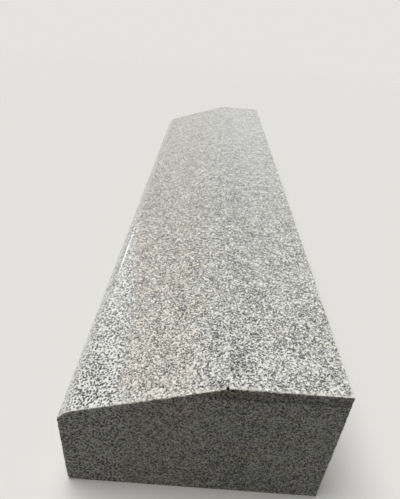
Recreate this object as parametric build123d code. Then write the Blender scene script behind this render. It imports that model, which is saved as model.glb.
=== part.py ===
from build123d import *
from math import atan2, degrees, radians, tan
import os

# A straight granite kerb stone, sawn from one piece of stock and stored lying on its back.
# All sizes are in millimetres. X runs across the stone, from its low side to its tall side,
# Y runs along it and Z points up. The origin is at the middle of the underside.

# Overall size of the block that the stone is sawn from.
LENGTH = 1000.0       # from end to end
WIDTH = 250.0         # across the underside, which is the stone's height once it is laid upright
TALL_SIDE = 150.0     # height of the tall side, which is the base once the stone is laid upright

# Shape of the section.
FLAT_STRIP = 102.0    # width of the level strip, from the tall side to the ridge
BATTER_DROP = 48.0    # fall of the battered face, from the ridge to the plane of the low side
BEVEL = 10.0          # width of the bevel along the low side, measured across the stone
BEVEL_ANGLE = 45.0    # slope of the bevel, in degrees from level
EASING = 12.0         # radius of the rubbed edge between the bevel and the battered face
ARRIS = 1.0           # small chamfer that takes the sharpness off every square-sawn edge


def corner_at(section, point):
    """The corner of the section that lies at a point of its outline."""
    return section.vertices().sort_by_distance(point)[0]


def kerb_section():
    """The section across the stone, with X across it and Y up, standing on the underside."""
    low_x = -WIDTH / 2
    tall_x = WIDTH / 2
    ridge_x = tall_x - FLAT_STRIP
    batter_run = ridge_x - low_x
    low_edge = TALL_SIDE - BATTER_DROP
    bevel_top = low_edge + BEVEL * BATTER_DROP / batter_run
    bevel_foot = bevel_top - BEVEL * tan(radians(BEVEL_ANGLE))

    back_low = (low_x, 0)
    back_tall = (tall_x, 0)
    strip_edge = (tall_x, TALL_SIDE)
    ridge = (ridge_x, TALL_SIDE)
    bevel_upper = (low_x + BEVEL, bevel_top)
    bevel_lower = (low_x, bevel_foot)
    print("batter", round(degrees(atan2(BATTER_DROP, batter_run)), 2), "degrees from level")
    print("low side", round(bevel_foot, 2), "mm high")

    outline = Polyline(back_low, back_tall, strip_edge, ridge, bevel_upper, bevel_lower, close=True)
    section = make_face(outline)
    section = fillet(corner_at(section, bevel_upper), EASING)
    for sawn_corner in (back_low, back_tall, strip_edge):
        section = chamfer(corner_at(section, sawn_corner), ARRIS)
    return section


def sawn_stone(section):
    """The section carried along the stone, with the outline of each sawn end chamfered."""
    stone = extrude(Plane.XZ * section, LENGTH / 2, both=True)
    ends = stone.faces().sort_by(Axis.Y)
    outlines = ends[0].edges() + ends[-1].edges()
    return chamfer(outlines, ARRIS)


os.makedirs("parts", exist_ok=True)
kerb_stone = sawn_stone(kerb_section())
export_step(kerb_stone, "parts/kerb_stone.step")
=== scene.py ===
from math import ceil, cos, pi, radians, sin, tan

import bmesh
import bpy
import numpy as np
from bpy.props import FloatProperty, FloatVectorProperty, IntProperty, PointerProperty
from mathutils import Matrix, Vector, geometry, noise


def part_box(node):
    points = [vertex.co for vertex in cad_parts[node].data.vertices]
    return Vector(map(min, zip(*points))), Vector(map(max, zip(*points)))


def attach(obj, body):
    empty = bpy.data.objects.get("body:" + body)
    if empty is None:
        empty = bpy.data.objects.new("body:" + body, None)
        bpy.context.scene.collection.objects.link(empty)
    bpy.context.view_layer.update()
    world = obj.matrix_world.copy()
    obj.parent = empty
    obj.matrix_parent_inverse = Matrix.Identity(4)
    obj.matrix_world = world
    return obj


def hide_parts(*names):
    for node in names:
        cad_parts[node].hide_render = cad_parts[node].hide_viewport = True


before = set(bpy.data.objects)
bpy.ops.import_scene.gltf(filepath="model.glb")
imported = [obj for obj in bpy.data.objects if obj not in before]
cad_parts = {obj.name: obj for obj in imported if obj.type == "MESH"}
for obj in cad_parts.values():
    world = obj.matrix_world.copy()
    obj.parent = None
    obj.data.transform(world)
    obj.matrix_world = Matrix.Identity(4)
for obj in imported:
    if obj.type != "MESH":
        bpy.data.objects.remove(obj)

bl_info = {
    "name": "Granite kerb stone",
    "version": (1, 0, 0),
    "blender": (4, 5, 0),
    "location": "View3D > Sidebar > Kerb",
    "description": "A sawn granite kerb stone with rubbed arrises, chips and a speckled finish",
    "category": "Object",
}

# The stone lies in the frame with X across it, Y along it and Z up, in metres.
MM = 0.001
KERB_NODE = "kerb_stone"
KERB_LOW, KERB_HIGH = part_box(KERB_NODE)
KERB_LENGTH = KERB_HIGH.y - KERB_LOW.y
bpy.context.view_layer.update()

# The ends: how far along the stone they are, in millimetres, and which way each faces
NEAR_Y, FAR_Y = KERB_LOW.y / MM, KERB_HIGH.y / MM
ENDS = ((np.array((0.0, -1.0, 0.0)), -NEAR_Y), (np.array((0.0, 1.0, 0.0)), FAR_Y))


class KerbSection(bpy.types.PropertyGroup):
    """The section that the stone is sawn to"""

    flat_strip: FloatProperty(
        name="Flat strip", description="Width of the level strip, from the tall side to the ridge",
        default=102 * MM, min=20 * MM, unit="LENGTH")
    batter_drop: FloatProperty(
        name="Batter drop", description="Fall of the battered face, from the ridge to the low side",
        default=48 * MM, min=5 * MM, unit="LENGTH")
    bevel: FloatProperty(
        name="Bevel", description="Width of the bevel along the low side, measured across the stone",
        default=10 * MM, min=2 * MM, unit="LENGTH")
    bevel_angle: FloatProperty(
        name="Bevel angle", description="Slope of the bevel from level",
        default=radians(45), min=radians(25), max=radians(75), subtype="ANGLE")
    easing: FloatProperty(
        name="Easing", description="Radius of the rubbed edge between bevel and battered face",
        default=12 * MM, min=1 * MM, unit="LENGTH")


class KerbWear(bpy.types.PropertyGroup):
    """What sawing, rubbing and handling left on the edges and faces"""

    arris: FloatProperty(
        name="Arris", description="How deep the sharp edges are rubbed down",
        default=0.28 * MM, min=0, unit="LENGTH")
    hand_rubbing: FloatProperty(
        name="Hand rubbing", description="How far the eased edge wanders, rubbed by hand",
        default=0.5 * MM, min=0, unit="LENGTH")
    chips: IntProperty(
        name="Chips", description="Number of small chips along the edges", default=170, min=0)
    chip_depth: FloatProperty(
        name="Chip depth", description="Depth of the deepest of the scattered chips",
        default=1.5 * MM, min=0, unit="LENGTH")
    nibbles: IntProperty(
        name="Nibbles", description="Number of the smallest chips, along the edges of the ends",
        default=420, min=0)
    pits: IntProperty(
        name="Pits", description="Number of small holes that plucked grains left in the faces",
        default=130, min=0)
    seed: IntProperty(name="Seed", description="Which set of chips and pits is made", default=7)


class GraniteFinish(bpy.types.PropertyGroup):
    """Colours and grain of the granite"""

    grain: FloatProperty(
        name="Grain", description="Width of a common grain", default=1.65 * MM, min=0.5 * MM,
        unit="LENGTH")
    mica_share: FloatProperty(
        name="Mica share", description="Share of the surface that is dark mica",
        default=0.49, min=0, max=1, subtype="FACTOR")
    feldspar: FloatVectorProperty(
        name="Feldspar", description="Colour of the white grains", subtype="COLOR", size=3,
        default=(0.91, 0.90, 0.865), min=0, max=1)
    cream: FloatVectorProperty(
        name="Cream feldspar", description="Colour of the warmer pale grains", subtype="COLOR",
        size=3, default=(0.72, 0.69, 0.62), min=0, max=1)
    quartz: FloatVectorProperty(
        name="Quartz", description="Colour of the grey grains", subtype="COLOR", size=3,
        default=(0.24, 0.242, 0.24), min=0, max=1)
    mica: FloatVectorProperty(
        name="Mica", description="Colour of the dark grains", subtype="COLOR", size=3,
        default=(0.024, 0.025, 0.026), min=0, max=1)
    # Also used for the pale line on the tall side's arrises, which is partly a painted highlight.
    bruise: FloatVectorProperty(
        name="Bruised stone", description="Colour of crushed stone on the arrises", subtype="COLOR",
        size=3, default=(0.84, 0.81, 0.73), min=0, max=1)


class StudioStage(bpy.types.PropertyGroup):
    """The floor, the lamps and the camera"""

    floor_colour: FloatVectorProperty(
        name="Floor", description="Colour of the floor", subtype="COLOR", size=3,
        default=(0.84, 0.825, 0.795), min=0, max=1)
    floor_bounce: FloatProperty(
        name="Floor bounce", description="How much light the floor throws back at the stone",
        default=0.06, min=0, max=1, subtype="FACTOR")
    skylight: FloatProperty(
        name="Skylight", description="Strength of the broad soft light from above and behind",
        default=2.66, min=0)
    fill: FloatProperty(
        name="Fill", description="Strength of the weak soft light from the front and right",
        default=0.20, min=0)
    glint: FloatProperty(
        name="Glint", description="Strength of the low far light that glints on the eased edge",
        default=0.12, min=0)
    ambient: FloatProperty(
        name="Ambient", description="Strength of the light from all round", default=0.07, min=0)
    sheen: FloatVectorProperty(
        name="Sheen", description="Colour of the sky that the stone's faces reflect",
        subtype="COLOR", size=3, default=(0.96, 0.98, 1.0), min=0, max=1)
    backdrop: FloatVectorProperty(
        name="Backdrop", description="Colour that the floor fades into", subtype="COLOR", size=3,
        default=(0.78, 0.77, 0.75), min=0, max=1)
    lens: FloatProperty(
        name="Lens", description="Focal length of the camera, in millimetres", default=29.55, min=1)


# Section and faces

EASING_STEPS = 4


def eased_edge(corner, before, after, radius):
    """Points of the arc that rounds a corner, from the leg towards before to the leg towards after."""
    leg_a = (before - corner).normalized()
    leg_b = (after - corner).normalized()
    turn = pi - leg_a.angle(leg_b)
    tangent = radius * tan(turn / 2)
    start = corner + leg_a * tangent
    centre = corner + (leg_a + leg_b).normalized() * radius / cos(turn / 2)
    spoke = start - centre
    side = 1 if spoke.cross(corner + leg_b * tangent - centre) > 0 else -1
    points = []
    for i in range(EASING_STEPS + 1):
        a = side * turn * i / EASING_STEPS
        turned = Vector((spoke.x * cos(a) - spoke.y * sin(a), spoke.x * sin(a) + spoke.y * cos(a)))
        points.append(centre + turned)
    return points


def kerb_outline(section):
    """The section's sides in order round the stone, as (name, start corner) with x and z."""
    low_x, tall_x = KERB_LOW.x, KERB_HIGH.x
    bottom, top = KERB_LOW.z, KERB_HIGH.z
    ridge = Vector((tall_x - section.flat_strip, top))
    fall = section.batter_drop / (ridge.x - low_x)
    bevel_top = Vector((low_x + section.bevel, top - section.batter_drop + section.bevel * fall))
    bevel_foot = Vector((low_x, bevel_top.y - section.bevel * tan(section.bevel_angle)))
    arc = eased_edge(bevel_top, ridge, bevel_foot, section.easing)
    sides = [("back", Vector((low_x, bottom))), ("tall_side", Vector((tall_x, bottom))),
             ("strip", Vector((tall_x, top))), ("batter", ridge)]
    sides += [("easing", point) for point in arc[:-1]]
    sides += [("bevel", arc[-1]), ("low_side", bevel_foot)]
    return sides


class Side:
    """One long face of the stone: a strip as long as the stone, and its place in the section."""

    def __init__(self, name, start, end, travelled):
        self.name = name
        self.start = np.array(start) / MM
        self.width = (end - start).length / MM
        self.along = np.array((end - start).normalized())
        self.normal = np.array((self.along[1], 0.0, -self.along[0]))
        self.offset = self.start @ self.normal[[0, 2]]
        self.travelled = travelled

    def at(self, u, y):
        """The point at u across the side and y along the stone, in millimetres."""
        x, z = self.start + self.along * u
        return np.array((x, y, z))


def kerb_sides(section):
    """The long faces in order round the section."""
    outline = kerb_outline(section)
    sides = []
    travelled = 0.0
    for i, (name, start) in enumerate(outline):
        end = outline[(i + 1) % len(outline)][1]
        sides.append(Side(name, start, end, travelled))
        travelled += sides[-1].width
    return sides


# Skin: each face is meshed with small triangles at its edges and large ones inside

RINGS = (0.45, 1.0, 1.8, 3.0, 4.8, 8.0, 14.0, 24.0, 42.0, 70.0)    # millimetres in from the edge
LONG_PITCH = 1.3       # millimetres between points along a long edge
END_PITCH = 0.65       # millimetres between points along the outline of an end
PITCH_GROWTH = 0.5     # how fast the points spread out away from the edges
NARROW = 3.0           # millimetres: a narrower face has points on its edges only
KEEP_CLEAR = 0.12      # millimetres: an extra point nearer than this to an even one is left out
JOINED = 0.01          # millimetres: points nearer to each other than this become one
HONED, SAWN, EASED = range(3)
FINISHES = {"back": SAWN, "tall_side": SAWN, "low_side": SAWN, "easing": EASED}


def marks(length, pitch, extra=()):
    """Places along an edge, evenly spaced, with extra ones added."""
    count = max(1, round(length / pitch))
    even = [length * i / count for i in range(count + 1)]
    clear = [e for e in extra if all(abs(e - m) > KEEP_CLEAR for m in even)]
    return sorted(even + clear)


def inset(corners, depth):
    """A convex outline, anticlockwise, with each edge moved in by a depth."""
    result = list(corners)
    for a, b in zip(corners, corners[1:] + corners[:1]):
        along = (b - a).normalized()
        inward = Vector((-along.y, along.x))
        kept = []
        for p, q in zip(result, result[1:] + result[:1]):
            dp = (p - a).dot(inward) - depth
            dq = (q - a).dot(inward) - depth
            if dp >= 0:
                kept.append(p)
            if (dp >= 0) != (dq >= 0):
                kept.append(p + (q - p) * (dp / (dp - dq)))
        result = kept
        if len(result) < 3:
            return []
    return result


def within(corners, p):
    """Whether a point is inside a convex outline."""
    return all((b - a).cross(p - a) > 0 for a, b in zip(corners, corners[1:] + corners[:1]))


def triangulated(points, rim_count):
    """Points and triangles inside a rim, which the first points form in order."""
    rim = [list(range(rim_count))]
    found, _, faces, _, _, _ = geometry.delaunay_2d_cdt(points, [], rim, 1, 1e-6)
    return found, faces


def fill_face(corners, rim, pitches, extra):
    """Points and triangles of a flat face, from its corners, the points of its rim and extras.

    The pitches are the spacing along an edge that runs across the face and one that runs along it.
    """
    points = list(rim)
    for depth in RINGS:
        ring = inset(corners, depth)
        if len(ring) < 3:
            break
        for a, b in zip(ring, ring[1:] + ring[:1]):
            run = b - a
            pitch = pitches[abs(run.y) > abs(run.x)] + PITCH_GROWTH * depth
            steps = ceil(run.length / pitch)
            points += [a + run * (i / steps) for i in range(steps)]
    safe = inset(corners, RINGS[0] / 2)
    points += [p for p in extra if within(safe, p)]
    return triangulated(points, len(rim))


def dense_spot(centre, radius):
    """Points round a small mark, so that the mesh can follow it."""
    spots = [Vector(centre)]
    for share, count in ((0.45, 6), (0.8, 9), (1.1, 10), (1.6, 10)):
        for i in range(count):
            a = 2 * pi * (i + share) / count
            spots.append(Vector((centre[0] + radius * share * cos(a),
                                 centre[1] + radius * share * sin(a))))
    return spots


class Skin:
    """The closed surface of the stone, gathered face by face, in millimetres."""

    def __init__(self):
        self.points = []
        self.faces = []
        self.finishes = []

    def add(self, found, faces, place, flip, finish):
        base = len(self.points)
        self.points += [place(p) for p in found]
        for face in faces:
            face = [base + i for i in face]
            self.faces.append(face[::-1] if flip else face)
            self.finishes.append(finish)

    def welded(self):
        """Points, triangles and their finish, with the points that lie in one place joined."""
        mesh = bpy.data.meshes.new("skin")
        mesh.from_pydata(self.points, [], self.faces)
        mesh.polygons.foreach_set("material_index", np.array(self.finishes, np.int32))
        shell = bmesh.new()
        shell.from_mesh(mesh)
        bmesh.ops.remove_doubles(shell, verts=shell.verts, dist=JOINED)
        points = np.array([v.co for v in shell.verts], float)
        faces = np.array([[v.index for v in face.verts] for face in shell.faces])
        finishes = np.array([face.material_index for face in shell.faces], np.int32)
        shell.free()
        bpy.data.meshes.remove(mesh)
        return points, faces, finishes


def kerb_skin(sides, spots):
    """The skin of the unworn stone. spots maps a side's number, or an end, to its small marks."""
    length = FAR_Y - NEAR_Y
    along = marks(length, LONG_PITCH)
    skin = Skin()
    rims = {"near": [], "far": []}
    for k, side in enumerate(sides):
        across = {end: marks(side.width, END_PITCH, spots.get((k, end), ())) for end in rims}
        for end in rims:
            rims[end] += [Vector(side.start + side.along * u) for u in across[end][:-1]]
        rim = [Vector((u, 0)) for u in across["near"][:-1]]
        rim += [Vector((side.width, v)) for v in along[:-1]]
        rim += [Vector((u, length)) for u in across["far"][:0:-1]]
        rim += [Vector((0, v)) for v in along[:0:-1]]
        corners = [Vector(c) for c in ((0, 0), (side.width, 0), (side.width, length), (0, length))]
        if side.width < NARROW:
            found, faces = triangulated(rim, len(rim))
        else:
            found, faces = fill_face(corners, rim, (END_PITCH, LONG_PITCH), spots.get(k, ()))
        finish = FINISHES.get(side.name, HONED)
        skin.add(found, faces, lambda p, s=side: s.at(p.x, NEAR_Y + p.y), True, finish)
    corners = [Vector(side.start) for side in sides]
    for end, y in (("near", NEAR_Y), ("far", FAR_Y)):
        found, faces = fill_face(corners, rims[end], (END_PITCH, END_PITCH), spots.get(end, ()))
        skin.add(found, faces, lambda p, y=y: np.array((p.x, y, p.y)), end == "far", SAWN)
    return skin.welded()


# Wear: cuts and scoops move the points of the skin inward, one after another. Lengths are in
# millimetres

SLOW, MIDDLING, FINE = 38.0, 8.0, 1.9       # how far apart a rubbed edge's depth changes
FLAT_SLOW, FLAT_QUICK = 95.0, 21.0          # the same for the hand-rubbed flats
CRUSHED_REACH = 1.3                         # how far from an edge the stone is crushed
FRESH_DEPTH = 0.12                          # a scoop this deep or deeper looks fully broken


def wander(rng, length, pitch):
    """A smooth random line over a length: a function from places to values from -1 to 1."""
    knots = rng.uniform(-1, 1, ceil(length / pitch) + 2)

    def at(place):
        k = np.clip(np.asarray(place) / pitch, 0, len(knots) - 1.001)
        i = k.astype(int)
        f = k - i
        f = f * f * (3 - 2 * f)
        return knots[i] * (1 - f) + knots[i + 1] * f

    return at


def rubbed_depth(rng, length, depth):
    """Depth of a rubbed edge from place to place: it wanders slowly, with small nibbles."""
    slow = wander(rng, length, SLOW)
    middling = wander(rng, length, MIDDLING)
    fine = wander(rng, length, FINE)

    def at(place):
        nibbles = np.maximum(fine(place) - 0.25, 0) * (1 + middling(place))
        share = 0.8 + 0.3 * slow(place) + 0.35 * middling(place) + 2.2 * nibbles
        return depth * np.maximum(share, 0.25)

    return at


class Wear:
    """The worn skin: where its points have moved to, and what the stone looks like there."""

    def __init__(self, points, sides, ends):
        self.sawn = points
        self.points = points.copy()
        self.sides = sides
        self.ends = ends
        self.normals = np.array([side.normal for side in sides] + [end[0] for end in ends])
        offsets = np.array([side.offset for side in sides] + [end[1] for end in ends])
        self.gaps = offsets - points @ self.normals.T
        self.looks = {name: np.zeros(len(points)) for name in ("rubbed", "crushed", "broken", "dirt_and_shade")}

    def mark(self, name, values):
        """Sets how rubbed, crushed or broken the points are, or how much painted shade and dirt they
        hold, where that is more than before.
        """
        self.looks[name] = np.maximum(self.looks[name], values)

    def place_along(self, side):
        """How far round the section each point is, for points on one side."""
        return side.travelled + (self.sawn[:, [0, 2]] - side.start) @ side.along

    def cut(self, outward, level):
        """Moves the points that stand out past a plane back to it."""
        over = self.points @ outward - level
        self.points -= np.maximum(over, 0)[:, None] * outward

    def rub(self, a, b, corner, place, depth, reach, pale):
        """Rubs down the edge between two faces, given as their numbers.

        The stone is marked as rubbed within reach of the edge, and as crushed right beside it.
        """
        outward = self.normals[a] + self.normals[b]
        outward /= np.linalg.norm(outward)
        self.cut(outward, outward @ corner - depth(place))
        turn = np.arccos(np.clip(self.normals[a] @ self.normals[b], -1, 1))
        away = np.maximum(self.gaps[:, a], self.gaps[:, b]) / sin(turn)
        self.mark("rubbed", np.clip(1 - away / reach, 0, 1))
        self.mark("crushed", pale * np.clip(1.3 - away / CRUSHED_REACH, 0, 1))

    def scoop(self, centre, axes, radii, look="broken", share=1.0, roughness=0.1):
        """Takes away what is inside an ellipsoid, given its axes as rows, in millimetres.

        The second axis points out of the stone, and the points move against it.
        """
        local = (self.points - centre) @ axes.T / radii
        inside = (local ** 2).sum(axis=1) < 1
        if not inside.any():
            return
        local = local[inside]
        bottom = -np.sqrt(1 - local[:, 0] ** 2 - local[:, 2] ** 2)
        move = (local[:, 1] - bottom) * radii[1]
        rough = [noise.noise(Vector(p) * 0.9) for p in self.sawn[inside]]
        move = np.maximum(move + roughness * np.array(rough) * np.minimum(1, 3 * move), 0)
        fresh = np.zeros(len(self.points))
        fresh[inside] = share * np.clip(move / FRESH_DEPTH, 0, 1)
        self.mark(look, fresh)
        self.points[inside] -= move[:, None] * axes[1]


def chip_axes(along, outward):
    """Axes of a chip on an edge: along it, outward from it, and across both."""
    along = along / np.linalg.norm(along)
    outward = outward - along * (outward @ along)
    outward = outward / np.linalg.norm(outward)
    return np.array((along, outward, np.cross(along, outward)))


# For an edge along the stone, by the faces it is between: its depth as a share of the usual arris,
# how far the rubbed band reaches in millimetres, and how pale the crushed line on the edge is
EDGE_WEAR = {
    ("strip", "batter"): (0.15, 0.1, 0.0),
    ("bevel", "low_side"): (0.6, 20.0, 0.9),
    # The pale line on the tall side's top arris is crushed stone and partly a painted highlight.
    ("tall_side", "strip"): (1.2, 3.5, 1.0),
    ("back", "tall_side"): (1.8, 3.0, 0.5),
    ("low_side", "back"): (1.8, 3.0, 0.5),
}
FOOT_HEIGHT = 62.0      # below it the tall side's arrises at the ends are rubbed more
FOOT_FADE = 15.0        # how far below that height the deeper rubbing takes to come in


def wear_edges(wear, settings, rng):
    """Rubs down every sharp edge of the stone."""
    sides, ends = wear.sides, wear.ends
    count = len(sides)
    along = wear.sawn[:, 1] - NEAR_Y
    arris = settings.arris / MM
    for k, side in enumerate(sides):
        pair = (sides[k - 1].name, side.name)
        if pair in EDGE_WEAR:
            share, reach, pale = EDGE_WEAR[pair]
            depth = rubbed_depth(rng, KERB_LENGTH / MM, share * arris)
            wear.rub((k - 1) % count, k, side.at(0, 0), along, depth, reach, pale)
    around = sum(side.width for side in sides)
    low = np.interp(wear.sawn[:, 2], (FOOT_HEIGHT - FOOT_FADE, FOOT_HEIGHT), (1, 0))
    for e, (normal, offset) in enumerate(ends):
        usual = rubbed_depth(rng, around, arris)
        deep = rubbed_depth(rng, around, 2.4 * arris)
        for k, side in enumerate(sides):
            corner = side.at(0, normal[1] * offset)
            place = wear.place_along(side)
            wear.rub(k, count + e, corner, place, usual, 6.0, 0.15)
            # The tall side's arrises at the ends are rubbed deeper near the foot; their pale line is
            # crushed stone and partly a painted highlight.
            if side.name == "tall_side":
                wear.rub(k, count + e, corner, place, lambda p: deep(p) * low, 3.0, low)


def wear_easing(wear, settings, rng):
    """Rubs long shallow flats on the eased edge, which wander as the hand did."""
    arc = [side for side in wear.sides if side.name == "easing"]
    first, last = arc[0], arc[-1]
    outward = first.normal + last.normal
    outward /= np.linalg.norm(outward)
    middle = arc[len(arc) // 2].at(0, 0)
    along = wear.sawn[:, 1] - NEAR_Y
    slow = wander(rng, KERB_LENGTH / MM, FLAT_SLOW)
    quick = wander(rng, KERB_LENGTH / MM, FLAT_QUICK)
    depth = settings.hand_rubbing / MM * np.maximum(0.4 + 0.5 * slow(along) + 0.1 * quick(along), 0)
    wear.cut(outward, outward @ middle - depth)


# A scattered chip's half sizes along, out of and across its edge, as ranges of its depth
CHIP_LENGTH, CHIP_HEIGHT, CHIP_WIDTH = (1.6, 3.6), (1.6, 3.0), (1.4, 2.2)
CHIP_LEAN = (-0.5, 0.5)         # how far a chip sits to one side of its edge, as a share of depth
SHALLOWEST = 0.28               # the shallowest chip, as a share of the deepest
NEAR_END_SHARE = 0.45           # the near end's deepest chip, as a share of the deepest elsewhere
EDGE_START = 120.0              # added to each edge's length, so that short edges get chips too

# A nibble's depth, and its half sizes along, out of and across its edge as ranges of its depth
NIBBLE_DEPTH = (0.3, 0.95)
NIBBLE_LENGTH, NIBBLE_HEIGHT, NIBBLE_WIDTH = (1.3, 3.0), 1.6, (1.0, 1.6)

PIT_RADIUS = (0.5, 1.2)
PIT_HEIGHT, PIT_DEPTH = 0.9, 0.6        # shares of its radius


def scatter_chips(wear, settings, rng):
    """Breaks small chips out of the edges, most of them tiny."""
    sides, ends = wear.sides, wear.ends
    edges = []
    for k, side in enumerate(sides):
        pair = {sides[k - 1].name, side.name}
        if "easing" in pair or pair == {"strip", "batter"}:
            continue
        outward = wear.normals[k - 1] + side.normal
        edges.append((side.at(0, NEAR_Y), side.at(0, FAR_Y), outward))
    for e, (normal, offset) in enumerate(ends):
        y = normal[1] * offset
        for side in sides:
            if side.name != "easing":
                edges.append((side.at(0, y), side.at(side.width, y), side.normal + normal))
    lengths = np.array([np.linalg.norm(b - a) for a, b, _ in edges])
    chance = lengths + EDGE_START
    picks = rng.choice(len(edges), settings.chips, p=chance / chance.sum())
    for pick in picks:
        a, b, outward = edges[pick]
        place = a + (b - a) * rng.uniform(0.01, 0.99)
        largest = settings.chip_depth / MM * (NEAR_END_SHARE if outward[1] < 0 else 1.0)
        depth = largest * (SHALLOWEST + (1 - SHALLOWEST) * rng.random() ** 3)
        tall = depth * rng.uniform(*CHIP_HEIGHT)
        axes = chip_axes(b - a, outward)
        radii = np.array((depth * rng.uniform(*CHIP_LENGTH), tall, depth * rng.uniform(*CHIP_WIDTH)))
        lean = axes[2] * depth * rng.uniform(*CHIP_LEAN)
        wear.scoop(place + axes[1] * (tall - depth) + lean, axes, radii)


def scatter_nibbles(wear, settings, rng):
    """Breaks the smallest chips out of the arrises of the ends, which leaves them jagged."""
    widths = np.array([side.width for side in wear.sides])
    for _ in range(settings.nibbles):
        side = wear.sides[rng.choice(len(widths), p=widths / widths.sum())]
        normal, offset = wear.ends[rng.integers(2)]
        depth = rng.uniform(*NIBBLE_DEPTH)
        axes = chip_axes(np.array((side.along[0], 0, side.along[1])), side.normal + normal)
        radii = depth * np.array((rng.uniform(*NIBBLE_LENGTH), NIBBLE_HEIGHT, rng.uniform(*NIBBLE_WIDTH)))
        place = side.at(side.width * rng.random(), normal[1] * offset)
        wear.scoop(place + axes[1] * 0.6 * depth, axes, radii, share=0.4)


def scatter_pits(sides, settings, rng):
    """Places for the pits, as (number of the side, centre in the face, radius)."""
    length = KERB_LENGTH / MM
    area = np.array([side.width * length if side.width > NARROW else 0 for side in sides])
    picks = rng.choice(len(sides), settings.pits, p=area / area.sum())
    pits = []
    for k in picks:
        side = sides[k]
        u = rng.uniform(0.05, 0.95) * side.width
        v = rng.uniform(0.01, 0.99) * length
        pits.append((k, (u, v), rng.uniform(*PIT_RADIUS)))
    return pits


def cut_pits(wear, pits):
    """Cuts the pits into their faces."""
    for k, (u, v), radius in pits:
        side = wear.sides[k]
        axes = chip_axes(np.array((side.along[0], 0.0, side.along[1])), side.normal)
        depth = radius * PIT_DEPTH
        centre = side.at(u, NEAR_Y + v) + side.normal * (PIT_HEIGHT * radius - depth)
        # The pits are painted nearly black: painted shade in the hollow, and dirt.
        wear.scoop(centre, axes, np.array((radius, PIT_HEIGHT * radius, radius)), look="dirt_and_shade", share=0.6)


# The marks that show at the near end of the stone
RIDGE_NICK = 2.0            # from the ridge, down the battered face
FACE_PIT = (25.3, 147.6)    # across the end and above the underside
NICK_SIZE = (1.2, 3.4, 2.2)     # half sizes along, out of and across the edge
HOLE_SIZE = (1.1, 4.0, 1.5)     # half sizes across the end, out of it and up
CORNER_CHIPS = (            # along the foot of the end, from its low corner: place and depth
    (0.0, 3.0), (5.0, 1.9), (9.5, 1.4), (14.0, 1.8), (18.5, 0.9))
CORNER_CHIP_SIZE = (2.4, 1.7, 1.6)      # half sizes, as shares of its depth


def mark_spots(sides, pits):
    """The marks that the mesh has to follow, for kerb_skin: small ones get points of their own."""
    spots = {}
    for k, centre, radius in pits:
        spots.setdefault(k, []).extend(dense_spot(centre, radius))
    spots["near"] = dense_spot(FACE_PIT, 0.7)
    batter = [side.name for side in sides].index("batter")
    spots[(batter, "near")] = [RIDGE_NICK + 0.25 * i for i in range(-4, 5)]
    return spots


def mark_near_end(wear):
    """Cuts the nick in the ridge, the hole under it and the chipped low corner of the near end."""
    end_normal = ENDS[0][0]
    across, up = np.array((1.0, 0.0, 0.0)), np.array((0.0, 0.0, 1.0))
    batter = next(side for side in wear.sides if side.name == "batter")
    axes = chip_axes(across, batter.normal + end_normal)
    # The nick and the hole below it are painted nearly black: painted shade in the hollows, and dirt.
    wear.scoop(batter.at(RIDGE_NICK, NEAR_Y), axes, np.array(NICK_SIZE), look="dirt_and_shade", roughness=0)
    hole = np.array((FACE_PIT[0], NEAR_Y, FACE_PIT[1]))
    wear.scoop(hole, chip_axes(across, end_normal), np.array(HOLE_SIZE), look="dirt_and_shade", roughness=0)
    for place, depth in CORNER_CHIPS:
        # The first chip is on the corner itself, so it also points out of the low side.
        aside = float(place == 0)
        axes = chip_axes(across + aside * end_normal, end_normal - up - aside * across)
        corner = np.array((KERB_LOW.x / MM + place, NEAR_Y, KERB_LOW.z / MM))
        wear.scoop(corner + axes[1] * 0.7 * depth, axes, depth * np.array(CORNER_CHIP_SIZE))


# Granite

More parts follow.
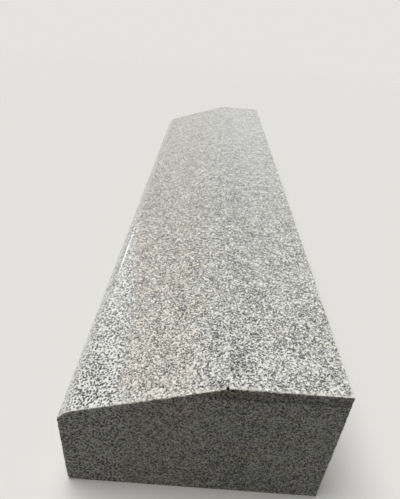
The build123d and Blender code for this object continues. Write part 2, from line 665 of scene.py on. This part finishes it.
class Nodes:
    """Adds nodes to a tree, each with its inputs linked to a socket or set to a value."""

    def __init__(self, tree):
        self.tree = tree

    def add(self, kind, inputs=(), **settings):
        node = self.tree.nodes.new(kind)
        count = len(self.tree.nodes)
        node.location = (220 * (count % 14), -300 * (count // 14))
        for name, value in settings.items():
            setattr(node, name, value)
        for name, value in dict(inputs).items():
            if isinstance(value, bpy.types.NodeSocket):
                self.tree.links.new(value, node.inputs[name])
            else:
                node.inputs[name].default_value = value
        return node

    def math(self, operation, *values, clamp=False):
        return self.add("ShaderNodeMath", enumerate(values), operation=operation,
                        use_clamp=clamp).outputs[0]

    def vector(self, operation, *values, **named):
        inputs = dict(enumerate(values))
        inputs.update(named)
        return self.add("ShaderNodeVectorMath", inputs, operation=operation).outputs[0]

    def span(self, value, low, high, to_low=0.0, to_high=1.0, smooth=False):
        """Maps a range of a value to another range, and holds it there beyond the ends."""
        kind = "SMOOTHSTEP" if smooth else "LINEAR"
        inputs = {"Value": value, "From Min": low, "From Max": high, "To Min": to_low, "To Max": to_high}
        return self.add("ShaderNodeMapRange", inputs, interpolation_type=kind).outputs[0]

    def mix(self, share, a, b, blend="MIX"):
        """Mixes two colours."""
        node = self.add("ShaderNodeMix", data_type="RGBA", blend_type=blend)
        for index, value in ((0, share), (6, a), (7, b)):
            if isinstance(value, bpy.types.NodeSocket):
                self.tree.links.new(value, node.inputs[index])
            else:
                node.inputs[index].default_value = value
        return node.outputs[2]

    def ramp(self, share, stops, steps=False):
        """Colours along a range: stops are pairs of a place and a colour."""
        node = self.add("ShaderNodeValToRGB", {"Fac": share})
        node.color_ramp.interpolation = "CONSTANT" if steps else "LINEAR"
        elements = node.color_ramp.elements
        while len(elements) < len(stops):
            elements.new(0.5)
        for element, (place, colour) in zip(elements, stops):
            element.position = place
            element.color = colour
        return node.outputs[0]

    def noise(self, place, size, detail=2.0, roughness=0.5):
        """Soft noise from 0 to 1, with blots about as wide as size."""
        return self.add("ShaderNodeTexNoise", {
            "Vector": place, "Scale": 1 / size, "Detail": detail, "Roughness": roughness})

    def cells(self, place, size, feature="F1"):
        """Random cells about as wide as size."""
        return self.add("ShaderNodeTexVoronoi", {"Vector": place, "Scale": 1 / size}, feature=feature)

    def split(self, colour):
        return self.add("ShaderNodeSeparateColor", {"Color": colour}).outputs

    def attribute(self, name):
        return self.add("ShaderNodeAttribute", attribute_name=name).outputs["Fac"]


def shade(colour, factor=1.0):
    """A colour as red, green, blue and full cover, darkened or lightened."""
    return tuple(min(1.0, c * factor) for c in colour) + (1.0,)


def between(a, b, share):
    return tuple(p + (q - p) * share for p, q in zip(a, b))


# Where the beds lie across the stone, in millimetres: each fades in from its first value to its
# second. The dark bed's are distances from its middle. The bold bed's line also slants.
BOLD_BED, BOLD_SLANT = (-123.0, -130.0), 0.12
WARM_BED = (14.0, -12.0)
DARK_MIDDLE, DARK_BED = 36.0, (24.0, 8.0)


def beds(nodes, place):
    """The beds that run along the stone: sockets for how much of each there is at a place.

    From the low side they are a bold one with whiter feldspar and larger flakes of mica, a warm
    one, and a dark one with more mica. The bold bed ends sharply and the others fade into each
    other.
    """
    across, along, _ = nodes.add("ShaderNodeSeparateXYZ", {"Vector": place}).outputs
    wobble = nodes.span(nodes.noise(place, 30.0, 2.0).outputs[0], 0.3, 0.7, -5.0, 5.0)
    sway = nodes.span(nodes.noise(place, 45.0, 2.0).outputs[0], 0.3, 0.7, -14.0, 14.0)
    slanted = nodes.math("ADD", across, nodes.math("MULTIPLY", along, BOLD_SLANT))
    bold = nodes.span(nodes.math("ADD", slanted, wobble), *BOLD_BED, smooth=True)
    across = nodes.math("ADD", across, sway)
    warm = nodes.span(across, *WARM_BED, smooth=True)
    warm = nodes.math("MULTIPLY", warm, nodes.math("SUBTRACT", 1.0, bold))
    from_dark = nodes.math("ABSOLUTE", nodes.math("SUBTRACT", across, DARK_MIDDLE))
    return bold, warm, nodes.span(from_dark, *DARK_BED, smooth=True)


def tinted(nodes, amount, colour, tint):
    """A colour multiplied by a tint, by some amount."""
    return nodes.mix(amount, colour, nodes.mix(1.0, colour, tint, blend="MULTIPLY"))


def mica_flakes(nodes, place, size, chance):
    """Scattered dark flakes about as wide as size: a socket for how much of a place they cover."""
    flakes = nodes.cells(place, size)
    luck = nodes.split(flakes.outputs["Color"])[0]
    edge = nodes.span(flakes.outputs["Distance"], 0.52, 0.42, smooth=True)
    return nodes.math("MULTIPLY", nodes.math("LESS_THAN", luck, chance), edge)


def granite_pattern(nodes, place, finish, bruised):
    """The grains of the granite: sockets for its colour, its share of mica and its relief."""
    grain = finish.grain / MM
    drift = nodes.vector("SUBTRACT", nodes.noise(place, grain, 1.0).outputs["Color"], (0.5, 0.5, 0.5))
    bent = nodes.vector("ADD", place, nodes.vector("SCALE", drift, Scale=0.6 * grain))

    kind, tone, _ = nodes.split(nodes.cells(bent, grain).outputs["Color"])[:3]
    feldspar, cream, quartz = finish.feldspar, finish.cream, finish.quartz
    minerals = nodes.ramp(kind, (
        (0.00, shade(quartz, 0.8)),
        (0.08, shade(between(quartz, feldspar, 0.15))),
        (0.20, shade(between(quartz, feldspar, 0.4))),
        (0.36, shade(between(quartz, feldspar, 0.7))),
        (0.52, shade(feldspar)),
        (0.80, shade(cream)),
        (0.92, shade(feldspar, 1.08))), steps=True)
    tone = nodes.span(tone, 0, 1, 0.88, 1.08)
    minerals = nodes.mix(1.0, minerals, tone, blend="MULTIPLY")
    bold, warm, dark = beds(nodes, place)
    minerals = nodes.mix(nodes.math("MULTIPLY", bold, 0.5), minerals, shade(feldspar, 1.08))
    # Farther along the stone the warm tint fades: painted sheen of the sky, cooler toward the far end.
    along = nodes.add("ShaderNodeSeparateXYZ", {"Vector": place}).outputs["Y"]
    far = nodes.span(along, -100, 450)
    tint = nodes.mix(nodes.math("MULTIPLY", warm, nodes.span(far, 0, 1, 1.0, 0.6)),
                     (0.99, 1.0, 0.985, 1.0), (1.0, 0.97, 0.915, 1.0))
    minerals = nodes.mix(1.0, minerals, tint, blend="MULTIPLY")

    seams = nodes.cells(bent, 2.7 * grain, "DISTANCE_TO_EDGE").outputs["Distance"]
    seams = nodes.span(seams, 0.03, 0.26, 1.2, 0.85, smooth=True)
    crowd = nodes.span(nodes.noise(place, 11.0, 1.0).outputs[0], 0.32, 0.68, 0.5, 1.5)
    chance = nodes.math("MULTIPLY", nodes.math("MULTIPLY", seams, crowd), finish.mica_share)
    # The mica share changes along the stone. In the warm bed it thickens from the near end to the middle
    # and thins toward the far end: painted shade, then painted sheen. In the cool bed it thins toward the
    # far end: painted sheen.
    warm_mica_shade_and_sheen = nodes.math("ADD", nodes.span(along, -480, -300, 0.90, 1.24),
                         nodes.span(along, -80, 300, 0.0, -0.22))
    cool_mica_and_sheen = nodes.math("MULTIPLY", nodes.math("SUBTRACT", 1.0, warm),
                         nodes.span(far, 0, 1, 1.15, 0.85))
    warm_mica_shade_and_sheen = nodes.math("MULTIPLY", warm_mica_shade_and_sheen, warm)
    chance = nodes.math("MULTIPLY", chance, nodes.math("ADD", cool_mica_and_sheen, warm_mica_shade_and_sheen))
    chance = nodes.math("MULTIPLY", chance, nodes.span(dark, 0, 1, 1.0, 1.3))
    chance = nodes.math("MULTIPLY", chance, nodes.span(bruised, 0, 1, 1.0, 0.4))
    shifted = nodes.vector("ADD", bent, (31.0, 17.0, 53.0))
    small = mica_flakes(nodes, shifted, 0.95 * grain, chance)
    large = mica_flakes(nodes, shifted, 1.33 * grain, nodes.math("MULTIPLY", chance, 2.0))
    extra = nodes.math("MULTIPLY", bold, nodes.math("SUBTRACT", large, small))
    mica = nodes.math("ADD", small, extra)
    colour = nodes.mix(nodes.math("MULTIPLY", mica, 0.95), minerals, shade(finish.mica))

    fine = nodes.noise(place, 0.45, 2.0, 0.6).outputs[0]
    colour = nodes.mix(1.0, colour, nodes.span(fine, 0.25, 0.75, 0.9, 1.1), blend="MULTIPLY")
    relief = nodes.math("SUBTRACT", fine, nodes.math("MULTIPLY", mica, 0.5))
    return colour, mica, relief


BROWN, GREEN = (0.98, 0.80, 0.66, 1.0), (0.80, 0.92, 0.68, 1.0)
NEAR_END_BROWN = (1.0, 0.80, 0.66, 1.0)


def stains_and_dark_band(nodes, place, colour):
    """Brown and green stain blots on the sawn stone, and a darker band under the top edge of the near
    end.

    The band lies under the top edge. It darkens downward to a hard lower edge.
    """
    across, along, up = nodes.add("ShaderNodeSeparateXYZ", {"Vector": place}).outputs
    near = nodes.math("LESS_THAN", along, NEAR_Y + 2)
    sway = nodes.span(nodes.noise(place, 12.0, 2.0).outputs[0], 0.3, 0.7, -0.8, 0.8)
    under = nodes.math("ADD", nodes.math("SUBTRACT", KERB_HIGH.z / MM, up), sway)
    band = nodes.math("MULTIPLY", nodes.span(under, 0, 12, 0.19, 0.47), nodes.span(under, 13.6, 12.4))
    band = nodes.math("MULTIPLY", band, nodes.span(across, -25, 20, smooth=True))
    colour = tinted(nodes, nodes.math("MULTIPLY", band, near), colour, (0.0, 0.0, 0.0, 1.0))
    beside = nodes.math("ABSOLUTE", nodes.math("SUBTRACT", across, 12.0))
    brown = nodes.math("MULTIPLY", nodes.span(beside, 42, 18, smooth=True),
                       nodes.span(under, 13, 5, 0.0, 0.7))
    colour = tinted(nodes, nodes.math("MULTIPLY", brown, near), colour, NEAR_END_BROWN)
    for shift, size, tint in ((3.0, 26.0, BROWN), (71.0, 15.0, GREEN)):
        blots = nodes.noise(nodes.vector("ADD", place, (shift, shift, shift)), size, 1.0).outputs[0]
        amount = nodes.span(blots, 0.5, 0.75, 0.0, 0.34, smooth=True)
        colour = tinted(nodes, amount, colour, tint)
    return colour


def empty_nodes(owner):
    """The nodes of a material or world, with none in it."""
    owner.use_nodes = True
    owner.node_tree.nodes.clear()
    return Nodes(owner.node_tree)


# The finishes, numbered as HONED, SAWN and EASED: name, roughness, height of the fine relief in
# millimetres, how much the rubbed edges pale, and index of refraction. The sawn stone's index is
# low, since the hollows between its grains swallow part of the gloss.
GRANITES = (
    ("granite_honed", 0.29, 0.03, 1.0, 1.54),
    ("granite_sawn", 0.62, 0.06, 0.25, 1.35),
    ("granite_eased", 0.16, 0.004, 1.0, 1.54))


def granite_material(finish, name, roughness, relief_height, bruising, ior):
    """Granite with one finish, whose values are those of a row of GRANITES."""
    material = bpy.data.materials.new(name)
    nodes = empty_nodes(material)
    coordinates = nodes.add("ShaderNodeTexCoord").outputs["Object"]
    place = nodes.vector("SCALE", coordinates, Scale=1 / MM)
    spread = nodes.noise(place, 3.0, 2.0).outputs[0]
    rubbed = nodes.math("SUBTRACT", nodes.attribute("rubbed"), spread)
    bruised = nodes.span(rubbed, -0.3, 0.35, 0.0, bruising)
    colour, mica, relief = granite_pattern(nodes, place, finish, bruised)
    if name == "granite_sawn":
        colour = stains_and_dark_band(nodes, place, colour)
    colour = nodes.mix(nodes.math("MULTIPLY", bruised, 0.3), colour, shade(finish.bruise))
    broken = nodes.attribute("broken")
    colour = nodes.mix(nodes.math("MULTIPLY", broken, 0.5), colour, shade(finish.bruise, 0.85))
    # Pale crushed stone on the arrises; on the tall side's arrises this is partly a painted highlight.
    crushed = nodes.math("SUBTRACT", nodes.attribute("crushed"), nodes.math("MULTIPLY", spread, 0.5))
    crushed = nodes.span(crushed, -0.1, 0.4, 0.0, 0.8)
    colour = nodes.mix(crushed, colour, shade(finish.bruise, 1.05))
    # Holes are painted nearly black: painted shade in the hollows, and dirt.
    colour = nodes.mix(nodes.attribute("dirt_and_shade"), colour, (0.012, 0.011, 0.009, 1.0))

    rough = nodes.math("ADD", nodes.math("MULTIPLY", mica, -0.08), roughness)
    worn = nodes.math("MULTIPLY", nodes.math("MAXIMUM", crushed, broken), 0.2)
    rough = nodes.math("ADD", rough, worn, clamp=True)
    bump = nodes.add("ShaderNodeBump", {
        "Height": relief, "Distance": relief_height * MM, "Strength": 1.0})
    shader = nodes.add("ShaderNodeBsdfPrincipled", {
        "Base Color": colour, "Roughness": rough, "Normal": bump.outputs[0], "IOR": ior})
    nodes.add("ShaderNodeOutputMaterial", {"Surface": shader.outputs[0]})
    return material


SHARP = radians(28)     # edges that turn by more than this are shaded as sharp


def kerb_mesh(wear, faces, finishes, finish):
    """The mesh of the worn stone, with its looks as attributes and its three finishes."""
    mesh = bpy.data.meshes.new("granite_kerb")
    mesh.from_pydata((wear.points * MM).tolist(), [], faces.tolist())
    for name, values in wear.looks.items():
        layer = mesh.attributes.new(name, "FLOAT", "POINT")
        layer.data.foreach_set("value", values)
    for granite in GRANITES:
        mesh.materials.append(granite_material(finish, *granite))
    mesh.polygons.foreach_set("material_index", finishes)
    mesh.update()
    mesh.polygons.foreach_set("use_smooth", [True] * len(mesh.polygons))
    mesh.set_sharp_from_angle(angle=SHARP)
    return mesh


class STONE_OT_kerb(bpy.types.Operator):
    """Build the granite kerb stone around its place in the frame"""

    bl_idname = "stone.kerb"
    bl_label = "Granite kerb stone"

    def execute(self, context):
        scene = context.scene
        settings = scene.kerb_wear
        rng = np.random.default_rng(settings.seed)
        sides = kerb_sides(scene.kerb_section)
        pits = scatter_pits(sides, settings, rng)
        points, faces, finishes = kerb_skin(sides, mark_spots(sides, pits))
        wear = Wear(points, sides, ENDS)
        wear_edges(wear, settings, rng)
        wear_easing(wear, settings, rng)
        scatter_chips(wear, settings, rng)
        scatter_nibbles(wear, settings, rng)
        cut_pits(wear, pits)
        mark_near_end(wear)
        mesh = kerb_mesh(wear, faces, finishes, scene.granite_finish)
        kerb = bpy.data.objects.new("granite_kerb", mesh)
        scene.collection.objects.link(kerb)
        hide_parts(KERB_NODE)
        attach(kerb, "root")
        return {"FINISHED"}


# Stage: distances in metres and angles in degrees

FLOOR_REACH = 12.0
FLOOR_FADE = (1.2, 3.2)         # where the floor fades out, from the middle of the stone
CAMERA_PLACE = (-10.2 * MM, -723.7 * MM, 419.0 * MM)
CAMERA_TURN, CAMERA_DIP, CAMERA_ROLL = -0.075, 31.772, 4.284
SENSOR_WIDTH = 36               # millimetres
LAMP_DISTANCE = 3
WHITE = (1.0, 1.0, 1.0)


def seen_directly(nodes):
    """The kinds of ray, and a socket that is 1 for what the camera, a gloss or a glass shows."""
    path = nodes.add("ShaderNodeLightPath").outputs
    seen = nodes.math("MAXIMUM", path["Is Camera Ray"], path["Is Glossy Ray"])
    return path, nodes.math("MAXIMUM", seen, path["Is Transmission Ray"])


def floor_material(settings):
    """A pale floor that fades out far away and throws back only part of its light."""
    material = bpy.data.materials.new("floor")
    nodes = empty_nodes(material)
    seen = seen_directly(nodes)[1]
    shown = settings.floor_colour
    colour = nodes.mix(seen, shade(shown, settings.floor_bounce / max(shown)), shade(shown))
    diffuse = nodes.add("ShaderNodeBsdfDiffuse", {"Color": colour})
    place = nodes.add("ShaderNodeTexCoord").outputs["Object"]
    away = nodes.add("ShaderNodeVectorMath", {0: place}, operation="LENGTH").outputs["Value"]
    clear = nodes.add("ShaderNodeBsdfTransparent")
    fade = nodes.span(away, *FLOOR_FADE, smooth=True)
    surface = nodes.add("ShaderNodeMixShader", {0: fade, 1: diffuse.outputs[0], 2: clear.outputs[0]})
    nodes.add("ShaderNodeOutputMaterial", {"Surface": surface.outputs[0]})
    return material


def lay_floor(scene, settings):
    """Lays the floor under the stone."""
    mesh = bpy.data.meshes.new("floor")
    r = FLOOR_REACH
    mesh.from_pydata([(-r, -r, 0), (r, -r, 0), (r, r, 0), (-r, r, 0)], [], [(0, 1, 2, 3)])
    floor = bpy.data.objects.new("floor", mesh)
    scene.collection.objects.link(floor)
    mesh.materials.append(floor_material(settings))


def set_camera(scene, settings):
    """Sets the camera at the photo's viewing angle."""
    camera = bpy.data.objects.new("camera", bpy.data.cameras.new("camera"))
    camera.data.lens = settings.lens
    camera.data.sensor_width = SENSOR_WIDTH
    scene.collection.objects.link(camera)
    camera.matrix_world = (Matrix.Translation(CAMERA_PLACE)
                           @ Matrix.Rotation(radians(CAMERA_TURN), 4, "Z")
                           @ Matrix.Rotation(radians(90 - CAMERA_DIP), 4, "X")
                           @ Matrix.Rotation(radians(CAMERA_ROLL), 4, "Z"))
    scene.camera = camera


def hang_lamp(scene, name, towards, spread, energy, colour=WHITE, on_faces=True):
    """Hangs a far lamp. One that isn't on faces shows only in their gloss."""
    lamp = bpy.data.lights.new(name, "SUN")
    lamp.angle = radians(spread)
    lamp.energy = energy
    lamp.color = colour
    hung = bpy.data.objects.new(name, lamp)
    towards = Vector(towards)
    hung.rotation_euler = towards.to_track_quat("Z", "Y").to_euler()
    hung.location = towards * LAMP_DISTANCE
    hung.visible_diffuse = on_faces
    scene.collection.objects.link(hung)


def studio_world(scene, settings):
    """Lights the stone weakly from all round, and gives its gloss a sky that fades to the left,
    to the front and overhead."""
    world = bpy.data.worlds.new("world")
    scene.world = world
    nodes = empty_nodes(world)
    path, seen = seen_directly(nodes)
    strength = nodes.span(seen, 0.0, 1.0, settings.ambient, 1.0)
    colour = nodes.mix(seen, shade(WHITE), shade(settings.backdrop))
    side, ahead, up = nodes.add("ShaderNodeSeparateXYZ", {
        "Vector": nodes.add("ShaderNodeTexCoord").outputs["Generated"]}).outputs
    open_sky = nodes.math("MULTIPLY", nodes.span(side, -0.35, 0.05, 0.68, 1.0),
                          nodes.span(ahead, -0.5, 0.3, 0.15, 1.0))
    open_sky = nodes.math("MULTIPLY", open_sky, nodes.span(up, 0.3, 0.7, 1.0, 0.35))
    sheen = nodes.mix(1.0, shade(settings.sheen), open_sky, blend="MULTIPLY")
    colour = nodes.mix(path["Is Glossy Ray"], colour, sheen)
    background = nodes.add("ShaderNodeBackground", {"Color": colour, "Strength": strength})
    nodes.add("ShaderNodeOutputWorld", {"Surface": background.outputs[0]})


class STONE_OT_stage(bpy.types.Operator):
    """Lay the floor, hang the lamps and set the camera"""

    bl_idname = "stone.stage"
    bl_label = "Floor, lamps and camera"

    def execute(self, context):
        scene = context.scene
        settings = scene.stone_stage
        lay_floor(scene, settings)
        set_camera(scene, settings)
        hang_lamp(scene, "skylight", (-0.18, 0.15, 0.97), 40, settings.skylight)
        hang_lamp(scene, "fill", (0.62, -0.69, 0.37), 70, settings.fill, colour=(1.0, 0.96, 0.90))
        hang_lamp(scene, "glint", (-0.5144, 0.8267, 0.2279), 3, settings.glint, on_faces=False)
        studio_world(scene, settings)
        scene.view_settings.view_transform = "Standard"
        return {"FINISHED"}


class VIEW3D_PT_stone(bpy.types.Panel):
    """Sizes, wear and stage of the kerb stone"""

    bl_idname = "VIEW3D_PT_stone"
    bl_label = "Granite kerb stone"
    bl_space_type = "VIEW_3D"
    bl_region_type = "UI"
    bl_category = "Kerb"

    def draw(self, context):
        scene = context.scene
        for group in (scene.kerb_section, scene.kerb_wear, scene.granite_finish, scene.stone_stage):
            box = self.layout.box()
            for name in group.__annotations__:
                box.prop(group, name)
        self.layout.operator(STONE_OT_kerb.bl_idname)
        self.layout.operator(STONE_OT_stage.bl_idname)


CLASSES = (KerbSection, KerbWear, GraniteFinish, StudioStage, STONE_OT_kerb, STONE_OT_stage,
           VIEW3D_PT_stone)


def register():
    for cls in CLASSES:
        bpy.utils.register_class(cls)
    bpy.types.Scene.kerb_section = PointerProperty(type=KerbSection)
    bpy.types.Scene.kerb_wear = PointerProperty(type=KerbWear)
    bpy.types.Scene.granite_finish = PointerProperty(type=GraniteFinish)
    bpy.types.Scene.stone_stage = PointerProperty(type=StudioStage)


def unregister():
    del bpy.types.Scene.stone_stage
    del bpy.types.Scene.granite_finish
    del bpy.types.Scene.kerb_wear
    del bpy.types.Scene.kerb_section
    for cls in reversed(CLASSES):
        bpy.utils.unregister_class(cls)


def main():
    register()
    bpy.ops.stone.kerb()
    bpy.ops.stone.stage()


if __name__ == "__main__":
    main()
